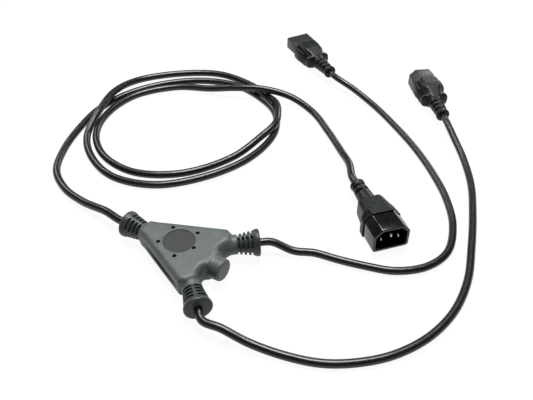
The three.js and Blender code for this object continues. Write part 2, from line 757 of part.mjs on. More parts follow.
function connectorInsert() {
  const nose = lofted([
    keyedRing(shoulder + gap, noseWidth / 2, noseHeight / 2, noseChamfer, noseCorner),
    keyedRing(connectorLength - 0.8, noseWidth / 2, noseHeight / 2, noseChamfer, noseCorner),
    keyedRing(connectorLength, noseWidth / 2 - 0.6, noseHeight / 2 - 0.6, noseChamfer, noseCorner),
  ]);
  const root = lofted([
    keyedRing(connectorRootRear, insertRootHalfWidth, insertRootHalfHeight, 1, 1),
    keyedRing(shoulder + gap + 1, insertRootHalfWidth, insertRootHalfHeight, 1, 1),
  ]);
  const cavities = Object.values(socketPlaces).flatMap(([side, height]) => [
    solid(box(
      [sleeveFront - 1, side - slotThickness / 2, height - slotLength / 2],
      [connectorLength + cutThrough, side + slotThickness / 2, height + slotLength / 2],
    )),
    solid(box(
      [connectorRootRear - cutThrough, side - sleeveHalf[0] - gap, height - sleeveHalf[1] - gap],
      [sleeveFront + gap, side + sleeveHalf[0] + gap, height + sleeveHalf[1] + gap],
    )),
  ]);
  return cut(joined([solid(nose), solid(root)]), cavities);
}

function contactGeometry() {
  const sleeve = cut(
    solid(box([sleeveRear, -sleeveHalf[0], -sleeveHalf[1]], [sleeveFront, sleeveHalf[0], sleeveHalf[1]])),
    [solid(box(
      [sleeveRear + 1.5, -slotThickness / 2, -slotLength / 2],
      [sleeveFront + cutThrough, slotThickness / 2, slotLength / 2],
    ))],
  );
  const barrelRear = connectorRootRear - barrelLength;
  return joined([sleeve, solid(rod(barrelRear, sleeveRear + 1, barrelRadius, 12))]);
}

for (const [name, place] of [['connector_a', connectorAPlace], ['connector_b', connectorBPlace]]) {
  const group = looseEnd(place, spineHalfHeight);
  addPiece(group, `${name}_overmould`, geometryOf(connectorOvermould()), overmouldFinish);
  addPiece(group, `${name}_insert`, geometryOf(connectorInsert()), overmouldFinish);
  for (const [wire, [side, height]] of Object.entries(socketPlaces)) {
    const contact = geometryOf(contactGeometry());
    contact.translate(0, side, height);
    addPiece(group, `${name}_${wire}_contact`, contact, brassFinish);
  }
  addLooseCores(group, name, connectorRootRear - barrelLength, socketPlaces);
}

// Cords: straight out of the junction's gland, along the route, straight into the loose end
function cordPoints(arm, route, diameter, place, endHeight) {
  const turn = THREE.MathUtils.degToRad(place.turn);
  const outOfArm = (reach) => [
    hubX + reach * Math.cos(arm.turn),
    reach * Math.sin(arm.turn),
    collarRadius,
  ];
  const behindEnd = (back) => [
    place.x - back * Math.cos(turn),
    place.y - back * Math.sin(turn),
    endHeight,
  ];
  const start = [outOfArm(arm.reach + gap), outOfArm(arm.reach + cordLead)];
  const middle = route.map(([x, y, lift]) => [x, y, diameter / 2 + cordFloorClearance + lift]);
  return [...start, ...middle, behindEnd(cordLead), behindEnd(gap)];
}
const [inputArm, outputArmA, outputArmB] = arms;
const mainPoints = cordPoints(inputArm, mainRoute, mainCordDiameter, plugPlace, hoodHalfHeight);
const branchPoints = (arm, route, place) => (
  cordPoints(arm, route, branchCordDiameter, place, spineHalfHeight)
);
const branchAPoints = branchPoints(outputArmA, branchARoute, connectorAPlace);
const branchBPoints = branchPoints(outputArmB, branchBRoute, connectorBPlace);
const addCord = (name, points, diameter, steps) => {
  addPiece(splitter, name, tube(points, diameter, cordSides, steps), cordFinish);
};
addCord('main_cord', mainPoints, mainCordDiameter, mainCordSteps);
addCord('branch_cord_a', branchAPoints, branchCordDiameter, branchCordSteps);
addCord('branch_cord_b', branchBPoints, branchCordDiameter, branchCordSteps);

export default splitter;
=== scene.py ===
# Power cord splitter: an inlet plug on a long cord, a moulded Y junction, two outlet connectors
from math import atan2, copysign, cos, hypot, pi, radians, sin, sqrt

import bpy
from mathutils import Matrix, Vector


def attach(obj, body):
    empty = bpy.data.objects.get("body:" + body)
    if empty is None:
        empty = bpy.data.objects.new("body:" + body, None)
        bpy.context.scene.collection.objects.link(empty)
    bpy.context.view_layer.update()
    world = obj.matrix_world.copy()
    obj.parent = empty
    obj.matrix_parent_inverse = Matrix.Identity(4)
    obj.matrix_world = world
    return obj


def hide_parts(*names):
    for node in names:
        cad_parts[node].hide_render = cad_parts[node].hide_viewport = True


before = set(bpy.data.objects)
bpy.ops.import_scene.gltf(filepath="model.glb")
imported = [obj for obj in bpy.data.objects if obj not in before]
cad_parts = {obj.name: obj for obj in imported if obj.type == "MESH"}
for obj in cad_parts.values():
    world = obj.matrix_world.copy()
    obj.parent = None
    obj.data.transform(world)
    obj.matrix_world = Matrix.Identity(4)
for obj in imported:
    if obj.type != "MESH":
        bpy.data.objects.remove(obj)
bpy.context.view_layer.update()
mm = 0.001
scene = bpy.context.scene

# The view is the photograph's: level, 41.5 degrees down, about half a metre away
cameraSettings = {
    "place": (0.2405, -0.2592, 0.3655),
    "look": (-0.4024, 0.6317, -0.6626),
    "lens": 46.16,
    "sensor": 36.0,
}
viewRight = Vector((0.8434, 0.5373, 0))
viewBack = Vector((-0.5373, 0.8434, 0))
middle = Vector((0.005, 0.115, 0))

cameraData = bpy.data.cameras.new("camera")
cameraData.lens = cameraSettings["lens"]
cameraData.sensor_width = cameraSettings["sensor"]
cameraData.clip_start = 0.01
camera = bpy.data.objects.new("camera", cameraData)
scene.collection.objects.link(camera)
camera.location = cameraSettings["place"]
camera.rotation_euler = Vector(cameraSettings["look"]).to_track_quat("-Z", "Y").to_euler()
scene.camera = camera
print("camera ready")

# Where the moulded pieces lie, in mm and degrees: x runs out through each loose end's face
junctionSettings = {
    "armAngle": 40,
    "inputTurn": 179.2,
    "hubX": 1.2,
    "inputReach": 51,
    "outputReach": 58,
    "collarRadius": 10.3,
    "neckRadius": 7.3,
    "armRoot": 14,
    "armShoulder": 32,
    "glandLength": 17,
    "collarLength": 4.2,
    "slabHalfThickness": 9.2,
    "slabRound": 4.0,
    "stubRadius": 8.5,
    "stubReach": 39.2,
    "stubRoot": 16,
    "stubShoulder": 28,
    "stubEdge": 1.2,
    "discRadius": 11.8,
    "discDepth": 0.5,
    "holeRadius": 1.55,
    "holeDepth": 4.0,
    "holes": [(15, 65), (15, 145), (15, -145), (15, -65), (13, 0)],
}
plugPlace = {"x": 76.5, "y": 133.0, "z": 11.9, "turn": -40, "roll": 0}
connectorAPlace = {"x": -23.8, "y": 274.1, "z": 10.9, "turn": 149.5, "roll": 180}
connectorBPlace = {"x": 98.6, "y": 262.8, "z": 10.9, "turn": 130, "roll": 0}


def armDirection(turn):
    return Vector((cos(radians(turn)), sin(radians(turn)), 0))


hubX = junctionSettings["hubX"]
hub = Vector((hubX, 0, junctionSettings["collarRadius"]))
arms = {
    "input": (junctionSettings["inputTurn"], junctionSettings["inputReach"]),
    "outputA": (junctionSettings["armAngle"], junctionSettings["outputReach"]),
    "outputB": (-junctionSettings["armAngle"], junctionSettings["outputReach"]),
}

# Cord routes in metres: a point on the floor, and how far the cord lifts there
cordSettings = {
    "mainCord": {
        "node": "main_cord", "diameter": 0.0064, "arm": "input", "end": plugPlace, "farEnd": "plug",
        "route": [
            (-0.0725, 0.0025, 0.006), (-0.1, 0.0045, 0.0016), (-0.125, 0.0095, 0), (-0.148, 0.0225, 0),
            (-0.164, 0.047, 0), (-0.175, 0.077, 0), (-0.1815, 0.1095, 0), (-0.177, 0.142, 0),
            (-0.159, 0.176, 0), (-0.1305, 0.202, 0), (-0.097, 0.2135, 0), (-0.065, 0.208, 0),
            (-0.039, 0.194, 0), (-0.022, 0.1655, 0), (-0.021, 0.124, 0), (-0.037, 0.085, 0),
            (-0.066, 0.053, 0), (-0.102, 0.042, 0), (-0.135, 0.0515, 0), (-0.1595, 0.0715, 0.0014),
            (-0.172, 0.102, 0.0068), (-0.182, 0.134, 0.0068), (-0.182, 0.1685, 0.0014),
            (-0.1565, 0.2015, 0), (-0.1225, 0.222, 0), (-0.0865, 0.2225, 0), (-0.062, 0.215, 0.0001),
            (-0.045, 0.2055, 0.0026), (-0.0315, 0.1875, 0.0064), (-0.024, 0.1705, 0.0072),
            (-0.026, 0.15, 0.0046), (-0.034, 0.1165, 0), (-0.0575, 0.076, 0), (-0.092, 0.056, 0),
            (-0.128, 0.059, 0), (-0.156, 0.079, 0), (-0.17, 0.1095, 0), (-0.168, 0.147, 0),
            (-0.1435, 0.18, 0), (-0.113, 0.193, 0.0018), (-0.088, 0.201, 0.0067),
            (-0.064, 0.212, 0.0078), (-0.038, 0.22, 0.0038), (-0.01, 0.214, 0.0002), (0.018, 0.194, 0),
            (0.043, 0.172, 0.0016), (0.058, 0.1563, 0.0056),
        ],
    },
    "branchCordA": {
        "node": "branch_cord_a", "diameter": 0.006, "arm": "outputA", "end": connectorAPlace,
        "farEnd": "connector",
        "route": [
            (0.0685, 0.048, 0.0014), (0.0825, 0.0543, 0.0014), (0.1, 0.0586, 0.0004), (0.119, 0.0637, 0),
            (0.1395, 0.071, 0), (0.1565, 0.0865, 0), (0.164, 0.108, 0), (0.157, 0.138, 0),
            (0.141, 0.165, 0), (0.119, 0.19, 0), (0.094, 0.213, 0), (0.066, 0.234, 0),
            (0.036, 0.253, 0.0006), (0.007, 0.264, 0.0044),
        ],
    },
    "branchCordB": {
        "node": "branch_cord_b", "diameter": 0.006, "arm": "outputB", "end": connectorBPlace,
        "farEnd": "connector",
        "route": [
            (0.0665, -0.0415, 0.006), (0.087, -0.0388, 0.0018), (0.112, -0.0336, 0.0002),
            (0.1345, -0.0255, 0), (0.1545, -0.0115, 0), (0.17, 0.0055, 0), (0.1825, 0.0295, 0),
            (0.1885, 0.058, 0), (0.1865, 0.0895, 0), (0.177, 0.124, 0), (0.1655, 0.1585, 0),
            (0.152, 0.192, 0), (0.135, 0.22, 0.0012), (0.117, 0.2415, 0.0048),
        ],
    },
}
# A cord runs straight for its lead, sagging a little, and starts inside its gland
cordShape = {
    "lead": 0.009, "sag": 0.0008, "insideGland": 0.002,
    "floorClearance": 0.0003, "spacing": 0.0022, "sides": 28,
}


# Colours are written as sRGB hex and turned to linear here
def linear(hexColour):
    channels = [int(hexColour[i:i + 2], 16) / 255 for i in (1, 3, 5)]
    return (*[c / 12.92 if c <= 0.04045 else ((c + 0.055) / 1.055) ** 2.4 for c in channels], 1)


# One helper adds a node, its settings and its links
def addNode(tree, kind, settings=None, links=None):
    node = tree.nodes.new(kind)
    for key, value in (settings or {}).items():
        if isinstance(key, int) or key in node.inputs:
            node.inputs[key].default_value = value
        else:
            setattr(node, key, value)
    for key, output in (links or {}).items():
        tree.links.new(output, node.inputs[key])
    return node


def newMaterial(name, settings):
    material = bpy.data.materials.new(name)
    material.use_nodes = True
    tree = material.node_tree
    tree.nodes.clear()
    shader = addNode(tree, "ShaderNodeBsdfPrincipled", settings)
    out = addNode(tree, "ShaderNodeOutputMaterial", None, {"Surface": shader.outputs[0]})
    place = addNode(tree, "ShaderNodeTexCoord")
    return material, tree, shader, place.outputs["Object"]


# Noise as large as size, in mm
def noiseOf(tree, place, sizeInMm, detail=2.0):
    settings = {"Scale": 1 / (sizeInMm * mm), "Detail": detail}
    return addNode(tree, "ShaderNodeTexNoise", settings, {"Vector": place})


def rampOf(tree, factor, stops):
    node = addNode(tree, "ShaderNodeValToRGB", None, {"Fac": factor})
    ramp = node.color_ramp
    while len(ramp.elements) < len(stops):
        ramp.elements.new(0.5)
    for element, (position, colour) in zip(ramp.elements, stops):
        element.position = position
        element.color = linear(colour) if isinstance(colour, str) else (colour, colour, colour, 1)
    return node


def bumpOf(tree, height, depthInMm, normal=None):
    links = {"Height": height}
    if normal is not None:
        links["Normal"] = normal
    return addNode(tree, "ShaderNodeBump", {"Strength": 1.0, "Distance": depthInMm * mm}, links)


# Soft PVC moulded over the splices. The tool is spark eroded, which gives a dull even grain.
# Real grain is about 0.15 mm across: drawn 0.45 mm, so that it shows.
def mouldedPvc(name, dark, light, roughLow, roughHigh, grainInMm, grainDepthInMm, shine=0.3):
    material, tree, shader, place = newMaterial(name, {"IOR": 1.53, "Specular IOR Level": shine})
    cloud = noiseOf(tree, place, 9.0, 3.0)
    tone = rampOf(tree, cloud.outputs["Fac"], [(0.3, dark), (0.7, light)])
    grain = noiseOf(tree, place, grainInMm, 4.0)
    sheen = rampOf(tree, cloud.outputs["Fac"], [(0.25, roughLow), (0.75, roughHigh)])
    bump = bumpOf(tree, grain.outputs["Fac"], grainDepthInMm)
    tree.links.new(tone.outputs["Color"], shader.inputs["Base Color"])
    tree.links.new(sheen.outputs["Color"], shader.inputs["Roughness"])
    tree.links.new(bump.outputs["Normal"], shader.inputs["Normal"])
    return material


# Cord sheath: PVC drawn through a die, glossy, with faint waves where the cores lie under it
def extrudedPvc(name, dark, light):
    material, tree, shader, place = newMaterial(name, {"IOR": 1.53, "Specular IOR Level": 0.45})
    wave = noiseOf(tree, place, 14.0, 1.0)
    fine = noiseOf(tree, place, 0.9, 2.0)
    tone = rampOf(tree, wave.outputs["Fac"], [(0.3, dark), (0.7, light)])
    gloss = rampOf(tree, fine.outputs["Fac"], [(0.3, 0.27), (0.7, 0.36)])
    long = bumpOf(tree, wave.outputs["Fac"], 0.35)
    both = bumpOf(tree, fine.outputs["Fac"], 0.008, long.outputs["Normal"])
    tree.links.new(tone.outputs["Color"], shader.inputs["Base Color"])
    tree.links.new(gloss.outputs["Color"], shader.inputs["Roughness"])
    tree.links.new(both.outputs["Normal"], shader.inputs["Normal"])
    return material


# Hard thermoplastic from a polished tool: even and glossy, with faint flow waves
def polishedPlastic(name, dark, light, rough):
    material, tree, shader, place = newMaterial(name, {"IOR": 1.54})
    flow = noiseOf(tree, place, 6.0, 2.0)
    tone = rampOf(tree, flow.outputs["Fac"], [(0.3, dark), (0.7, light)])
    gloss = rampOf(tree, flow.outputs["Fac"], [(0.3, rough * 0.85), (0.7, rough * 1.15)])
    bump = bumpOf(tree, flow.outputs["Fac"], 0.02)
    tree.links.new(tone.outputs["Color"], shader.inputs["Base Color"])
    tree.links.new(gloss.outputs["Color"], shader.inputs["Roughness"])
    tree.links.new(bump.outputs["Normal"], shader.inputs["Normal"])
    return material


# Brass strip, stamped and plated: fine drawing lines along it, and a soft shine
def stampedMetal(name, dark, light, rough):
    material, tree, shader, place = newMaterial(name, {"Metallic": 1.0})
    stretch = addNode(tree, "ShaderNodeMapping", {"Scale": (1, 1, 8)}, {"Vector": place})
    lines = noiseOf(tree, stretch.outputs["Vector"], 1.2, 3.0)
    tone = rampOf(tree, lines.outputs["Fac"], [(0.3, dark), (0.7, light)])
    gloss = rampOf(tree, lines.outputs["Fac"], [(0.3, rough * 0.8), (0.7, rough * 1.2)])
    bump = bumpOf(tree, lines.outputs["Fac"], 0.01)
    tree.links.new(tone.outputs["Color"], shader.inputs["Base Color"])
    tree.links.new(gloss.outputs["Color"], shader.inputs["Roughness"])
    tree.links.new(bump.outputs["Normal"], shader.inputs["Normal"])
    return material


finishes = {
    "junctionPvc": mouldedPvc("junctionPvc", "#444c47", "#4e5651", 0.42, 0.52, 0.45, 0.02, 0.35),
    # A darker copy of the junction's PVC for the glands: painted shade, since the glands are the same
    # moulding and only face away from the top light
    "glandPaintedShadePvc": mouldedPvc("glandPaintedShadePvc", "#2c322f", "#343a37", 0.38, 0.46, 0.5, 0.012, 0.3),
    # A darker copy of the junction's PVC for the recessed disc: painted shade standing in for the dark
    # reflection on it
    "discPaintedShadePvc": mouldedPvc("discPaintedShadePvc", "#1f2422", "#252a28", 0.55, 0.63, 0.6, 0.008),
    "bodyPvc": mouldedPvc("bodyPvc", "#101512", "#171c19", 0.34, 0.44, 0.5, 0.015, 0.22),
    "cordPvc": extrudedPvc("cordPvc", "#0c100e", "#121614"),
    "shroudPlastic": polishedPlastic("shroudPlastic", "#0b0e0d", "#101312", 0.14),
    "nosePlastic": mouldedPvc("nosePlastic", "#1b1f1d", "#212523", 0.36, 0.44, 0.5, 0.01, 0.4),
    "carrierNylon": polishedPlastic("carrierNylon", "#c6c1b5", "#d2cdc2", 0.45),
    "nickelledBrass": stampedMetal("nickelledBrass", "#c2bfb8", "#d6d3cc", 0.2),
    "tinnedCopper": stampedMetal("tinnedCopper", "#b9b6ae", "#cbc8c1", 0.34),
    "springBrass": stampedMetal("springBrass", "#b08f4a", "#c7a662", 0.3),
    "earthSheath": extrudedPvc("earthSheath", "#4e7d2c", "#6d9a3a"),
    "liveSheath": extrudedPvc("liveSheath", "#4f2f1b", "#5f3a22"),
    "neutralSheath": extrudedPvc("neutralSheath", "#27548c", "#2f5f9f"),
}
print("materials ready")


# A shell is (points, faces) in mm. A turned one follows [x, radius] pairs round the x axis.
def turnedShell(profile, segments=64):
    points = [(profile[0][0], 0, 0)]
    for x, radius in profile:
        points += [(x, -radius * sin(2 * pi * i / segments), radius * cos(2 * pi * i / segments))
                   for i in range(segments)]
    points.append((profile[-1][0], 0, 0))
    faces = []
    last = len(points) - 1
    for i in range(segments):
        j = (i + 1) % segments
        faces.append((0, 1 + j, 1 + i))
        for r in range(len(profile) - 1):
            a = 1 + r * segments
            faces.append((a + i, a + j, a + segments + j, a + segments + i))
        a = 1 + (len(profile) - 1) * segments
        faces.append((a + i, a + j, last))
    return points, faces


def loftShell(rings):
    count = len(rings[0])
    points = [point for ring in rings for point in ring]
    faces = [tuple(reversed(range(count)))]
    for r in range(len(rings) - 1):
        a = r * count
        faces += [(a + i, a + (i + 1) % count, a + count + (i + 1) % count, a + count + i)
                  for i in range(count)]
    faces.append(tuple((len(rings) - 1) * count + i for i in range(count)))
    return points, faces


def boxShell(low, high):
    (x0, y0, z0), (x1, y1, z1) = low, high
    return loftShell([[(x, y0, z0), (x, y1, z0), (x, y1, z1), (x, y0, z1)] for x in (x0, x1)])


# Rounds the corners of a ring of (y, z) points with arcs of the given radii
def roundedRing(x, corners, radii, steps=5):
    ring = []
    count = len(corners)
    for i, (corner, radius) in enumerate(zip(corners, radii)):
        here = Vector(corner)
        back = (Vector(corners[i - 1]) - here).normalized()
        ahead = (Vector(corners[(i + 1) % count]) - here).normalized()
        for k in range(steps + 1):
            share = k / steps
            a = here + back * radius * (1 - share)
            b = here + ahead * radius * share
            point = a.lerp(b, share)
            ring.append((x, point.x, point.y))
    return ring


# Ring of a coupler: two large chamfers at the top, two rounded corners at the bottom
def keyedRing(x, halfWidth, halfHeight, chamfer, bottomRound, edgeRound=0.6):
    w, h = halfWidth, halfHeight
    corners = [(-w, -h), (w, -h), (w, h - chamfer), (w - chamfer, h), (-w + chamfer, h),
               (-w, h - chamfer)]
    radii = [bottomRound, bottomRound] + [edgeRound] * 4
    return roundedRing(x, corners, radii)


def softRing(x, halfWidth, halfHeight, squareness=0.62, points=48):
    ring = []
    for i in range(points):
        angle = 2 * pi * (i + 0.5) / points
        across = copysign(abs(cos(angle)) ** squareness, cos(angle))
        up = copysign(abs(sin(angle)) ** squareness, sin(angle))
        ring.append((x, halfWidth * across, halfHeight * up))
    return ring


def moved(shell, matrix):
    points, faces = shell
    return [tuple(matrix @ Vector(point)) for point in points], faces


def turnedTo(turn, origin=(0, 0, 0)):
    return Matrix.Translation(origin) @ Matrix.Rotation(radians(turn), 4, "Z")


def placeMatrix(place):
    spin = Matrix.Rotation(radians(place["turn"]), 4, "Z") @ Matrix.Rotation(radians(place["roll"]), 4, "X")
    return Matrix.Translation((place["x"], place["y"], place["z"])) @ spin


# An object in metres from shells in mm
def objectOf(name, shells, matrix=Matrix.Identity(4)):
    points = []
    faces = []
    for shellPoints, shellFaces in shells:
        faces += [tuple(i + len(points) for i in face) for face in shellFaces]
        points += [(matrix @ Vector(point)) * mm for point in shellPoints]
    mesh = bpy.data.meshes.new(name)
    mesh.from_pydata(points, [], faces)
    mesh.validate()
    piece = bpy.data.objects.new(name, mesh)
    scene.collection.objects.link(piece)
    return piece


def settled(piece):
    bpy.context.view_layer.update()
    mesh = bpy.data.meshes.new_from_object(piece.evaluated_get(bpy.context.evaluated_depsgraph_get()))
    piece.modifiers.clear()
    piece.data = mesh
    return piece


def remeshed(piece, voxelInMm):
    modifier = piece.modifiers.new("remesh", "REMESH")
    modifier.mode = "VOXEL"
    modifier.voxel_size = voxelInMm * mm
    modifier.adaptivity = 0
    return settled(piece)


# Eases the surface; with a weight function of the point in mm, only where the weight is above nought
def eased(piece, times, weightAt=None):
    modifier = piece.modifiers.new("ease", "SMOOTH")
    modifier.iterations = times
    modifier.factor = 0.5
    if weightAt:
        group = piece.vertex_groups.new(name="ease")
        for vertex in piece.data.vertices:
            weight = weightAt(vertex.co / mm)
            if weight > 0:
                group.add([vertex.index], weight, "REPLACE")
        modifier.vertex_group = "ease"
    settled(piece)
    piece.vertex_groups.clear()
    return piece


def carved(piece, shells):
    cutter = objectOf("cutter", shells)
    modifier = piece.modifiers.new("carve", "BOOLEAN")
    modifier.operation = "DIFFERENCE"
    modifier.solver = "MANIFOLD"
    modifier.object = cutter
    settled(piece)
    bpy.data.objects.remove(cutter)
    return piece


def smoothShaded(piece, sharpDegrees=None):
    piece.data.polygons.foreach_set("use_smooth", [True] * len(piece.data.polygons))
    if sharpDegrees:
        piece.data.set_sharp_from_angle(angle=radians(sharpDegrees))
    piece.data.update()
    return piece


def bevelled(piece, widthInMm, angle=30, segments=3):
    modifier = piece.modifiers.new("bevel", "BEVEL")
    modifier.width = widthInMm * mm
    modifier.segments = segments
    modifier.limit_method = "ANGLE"
    modifier.angle_limit = radians(angle)
    modifier.harden_normals = False
    return settled(piece)


def finished(piece, node, finish):
    piece.data.materials.clear()
    for name in [finish] if isinstance(finish, str) else finish:
        piece.data.materials.append(finishes[name])
    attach(piece, "root")
    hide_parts(node)
    return piece


# Cords: a centripetal curve through the points, and a round tube along it
def smoothCurve(points, spacing):
    p = [Vector(point) for point in points]
    p = [2 * p[0] - p[1]] + p + [2 * p[-1] - p[-2]]
    curve = []
    for i in range(1, len(p) - 2):
        t = [0.0]
        for k in range(3):
            t.append(t[-1] + (p[i + k] - p[i + k - 1]).length ** 0.5)
        steps = max(2, round((p[i + 1] - p[i]).length / spacing))
        for s in range(steps):
            u = t[1] + (t[2] - t[1]) * s / steps
            a = [((t[k + 1] - u) * p[i + k - 1] + (u - t[k]) * p[i + k]) / (t[k + 1] - t[k])
                 for k in range(3)]
            b = [((t[k + 2] - u) * a[k] + (u - t[k]) * a[k + 1]) / (t[k + 2] - t[k])
                 for k in range(2)]
            curve.append(((t[2] - u) * b[0] + (u - t[1]) * b[1]) / (t[2] - t[1]))
    curve.append(p[-2])
    return curve


def tubeObject(name, curve, diameter, sides):
    points = []
    faces = []
    side = Vector((0, 0, 1)).cross(curve[1] - curve[0]).normalized()
    for i, place in enumerate(curve):
        ahead = (curve[min(i + 1, len(curve) - 1)] - curve[max(i - 1, 0)]).normalized()
        side = (side - ahead * side.dot(ahead)).normalized()
        up = ahead.cross(side)
        for k in range(sides):
            angle = 2 * pi * k / sides
            points.append(place + (side * cos(angle) + up * sin(angle)) * diameter / 2)
    for i in range(len(curve) - 1):
        for k in range(sides):
            a, b = i * sides + k, i * sides + (k + 1) % sides
            faces.append((a, b, b + sides, a + sides))
    faces.append(tuple(reversed(range(sides))))
    faces.append(tuple((len(curve) - 1) * sides + k for k in range(sides)))
    mesh = bpy.data.meshes.new(name)
    mesh.from_pydata(points, [], faces)
    piece = bpy.data.objects.new(name, mesh)
    scene.collection.objects.link(piece)
    return smoothShaded(piece, 60)


def cordPath(settings):
    turn, reach = arms[settings["arm"]]
    end = settings["end"]
    out = armDirection(turn)
    into = armDirection(end["turn"])
    inside = cordShape["insideGland"]
    height = settings["diameter"] / 2 + cordShape["floorClearance"]
    gate = (hub + out * reach) * mm
    socket = Vector((end["x"], end["y"], end["z"])) * mm
    points = [gate - out * inside, gate + out * cordShape["lead"] - Vector((0, 0, cordShape["sag"]))]
    points += [Vector((x, y, height + lift)) for x, y, lift in settings["route"]]
    points += [socket - into * cordShape["lead"], socket + into * inside]
    return points, gate


for name, settings in cordSettings.items():
    points, gate = cordPath(settings)
    curve = smoothCurve(points, cordShape["spacing"])
    piece = tubeObject(name, curve, settings["diameter"], cordShape["sides"])
    finished(piece, settings["node"], "cordPvc")


# Slots that let a strain relief bend: four round the axis, with ribs at the top, bottom and sides
slotTurns = (45, 135, 225, 315)
slotHalfAngle = 37
slotOvercut = 1.2


def slotShells(starts, width, outerAt, floorAt):
    def polar(x, radius, degrees):
        return x, radius * cos(radians(degrees)), radius * sin(radians(degrees))

    shells = []
    for start in starts:
        outer = (outerAt(start) + slotOvercut) / cos(radians(slotHalfAngle))
        floor = floorAt(start)
        for turn in slotTurns:
            angles = [turn + slotHalfAngle * share for share in (-1, -0.5, 0, 0.5, 1)]
            shells.append(loftShell([
                [polar(x, outer, angle) for angle in angles]
                + [polar(x, floor, angle) for angle in reversed(angles)]
                for x in (start, start + width)]))
    return shells


# Junction: three arms and a blank stub grow out of a flat slab
slabHalfOutline = [
    (-33, 6.8), (-26.5, 9.0), (21.8, 30.1), (27.2, 27.7), (31, 20.5), (28.5, 14.5), (28.5, 9.5), (32, 7.2),
]
junctionDetail = {
    "voxel": 0.5,
    "fineVoxel": 0.43,
    "slotWidth": 1.5,
    "slotPitch": 3.2,
    "slotCount": 4,
    "slotFloor": 5.2,
    "groove": {"start": -27, "end": 21, "height": 5.6, "depth": 1.7, "drop": 0.2, "slope": 2.6},
}


def glandRadius(x, reach):
    j = junctionSettings
    start = reach - j["glandLength"]
    end = reach - j["collarLength"]
    share = min(max((x - start) / (end - start), 0), 1)
    return j["neckRadius"] + (j["collarRadius"] - 0.9 - j["neckRadius"]) * share


def armShell(turn, reach):
    j = junctionSettings
    start = reach - j["glandLength"]
    collar = reach - j["collarLength"]
    radius = j["collarRadius"]
    profile = [(j["armRoot"], j["slabHalfThickness"]), (j["armShoulder"], j["neckRadius"] + 0.4),
               (start, j["neckRadius"]),
               (collar, radius - 0.9), (collar + 1, radius - 0.3), (reach - 1.4, radius),
               (reach - 0.5, radius - 0.15), (reach, radius - 0.7)]
    return moved(turnedShell(profile), turnedTo(turn, hub))


def slabShell():
    j = junctionSettings
    outline = list(reversed(slabHalfOutline)) + [(x, -y) for x, y in slabHalfOutline]
    count = len(outline)
    rings = []
    thick = j["slabHalfThickness"]
    round = j["slabRound"]
    turns = [pi / 2 * k / 6 for k in range(7)]
    lower = [(-thick + round * (1 - cos(turn)), round * (1 - sin(turn))) for turn in turns]
    upper = [(-z, inset) for z, inset in reversed(lower)]
    for z, inset in lower + upper:
        ring = []
        for i, (x, y) in enumerate(outline):
            before = Vector(outline[i - 1])
            after = Vector(outline[(i + 1) % count])
            here = Vector((x, y))
            n1 = (here - before).normalized()
            n2 = (after - here).normalized()
            normal = Vector((n1.y + n2.y, -n1.x - n2.x)).normalized()
            reach = inset / max(0.35, normal.dot(Vector((n1.y, -n1.x))))
            point = here - normal * reach
            ring.append((point.x, point.y, z))
        rings.append(ring)
    return moved(loftShell(rings), Matrix.Translation(hub))


def stubShell():
    j = junctionSettings
    radius, reach = j["stubRadius"], j["stubReach"]
    edge = j["stubEdge"]
    profile = [(j["stubRoot"], j["slabHalfThickness"]), (j["stubShoulder"], radius), (reach - edge, radius),
               (reach - edge * 0.3, radius - edge * 0.3), (reach, radius - edge)]
    return moved(turnedShell(profile), Matrix.Translation(hub))


# Lens-shaped recess along each slanting side wall
def grooveShell(side):
    groove = junctionDetail["groove"]
    (x0, y0), (x1, y1) = slabHalfOutline[1:3]
    slant = atan2(y1 - y0, x1 - x0)
    centre = (groove["start"] + groove["end"]) / 2
    length = (groove["end"] - groove["start"]) / cos(slant)
    rings = []
    for k in range(13):
        share = k / 12
        swell = sin(pi * (0.04 + 0.92 * share)) ** 0.8
        low = -groove["drop"] - groove["height"] * swell / 2
        high = -groove["drop"] + groove["height"] * swell / 2
        inner, outer = -side * groove["depth"] * swell, side * 2.0
        near, far = min(inner, outer), max(inner, outer)
        x = (share - 0.5) * length
        rim = low - groove["slope"] * swell
        lows = (rim, low) if side < 0 else (low, rim)
        rings.append([(x, near, lows[0]), (x, far, lows[1]), (x, far, high), (x, near, high)])
    wall = y0 + (centre - x0) * (y1 - y0) / (x1 - x0)
    place = Matrix.Translation((centre, side * wall, 0)) @ Matrix.Rotation(side * slant, 4, "Z")
    return moved(loftShell(rings), Matrix.Translation(hub) @ place)


# The shell is eased most in the saddles between the stub and the output arms, and at the input neck
def saddleWeight(point):
    x, y = point.x - hubX, abs(point.y)
    saddle = (17 - hypot(x - 30, y - 13)) / 6
    neck = (11 - hypot(x + 29, y - 7)) / 5
    return max(0.0, min(1.0, max(saddle, neck)))


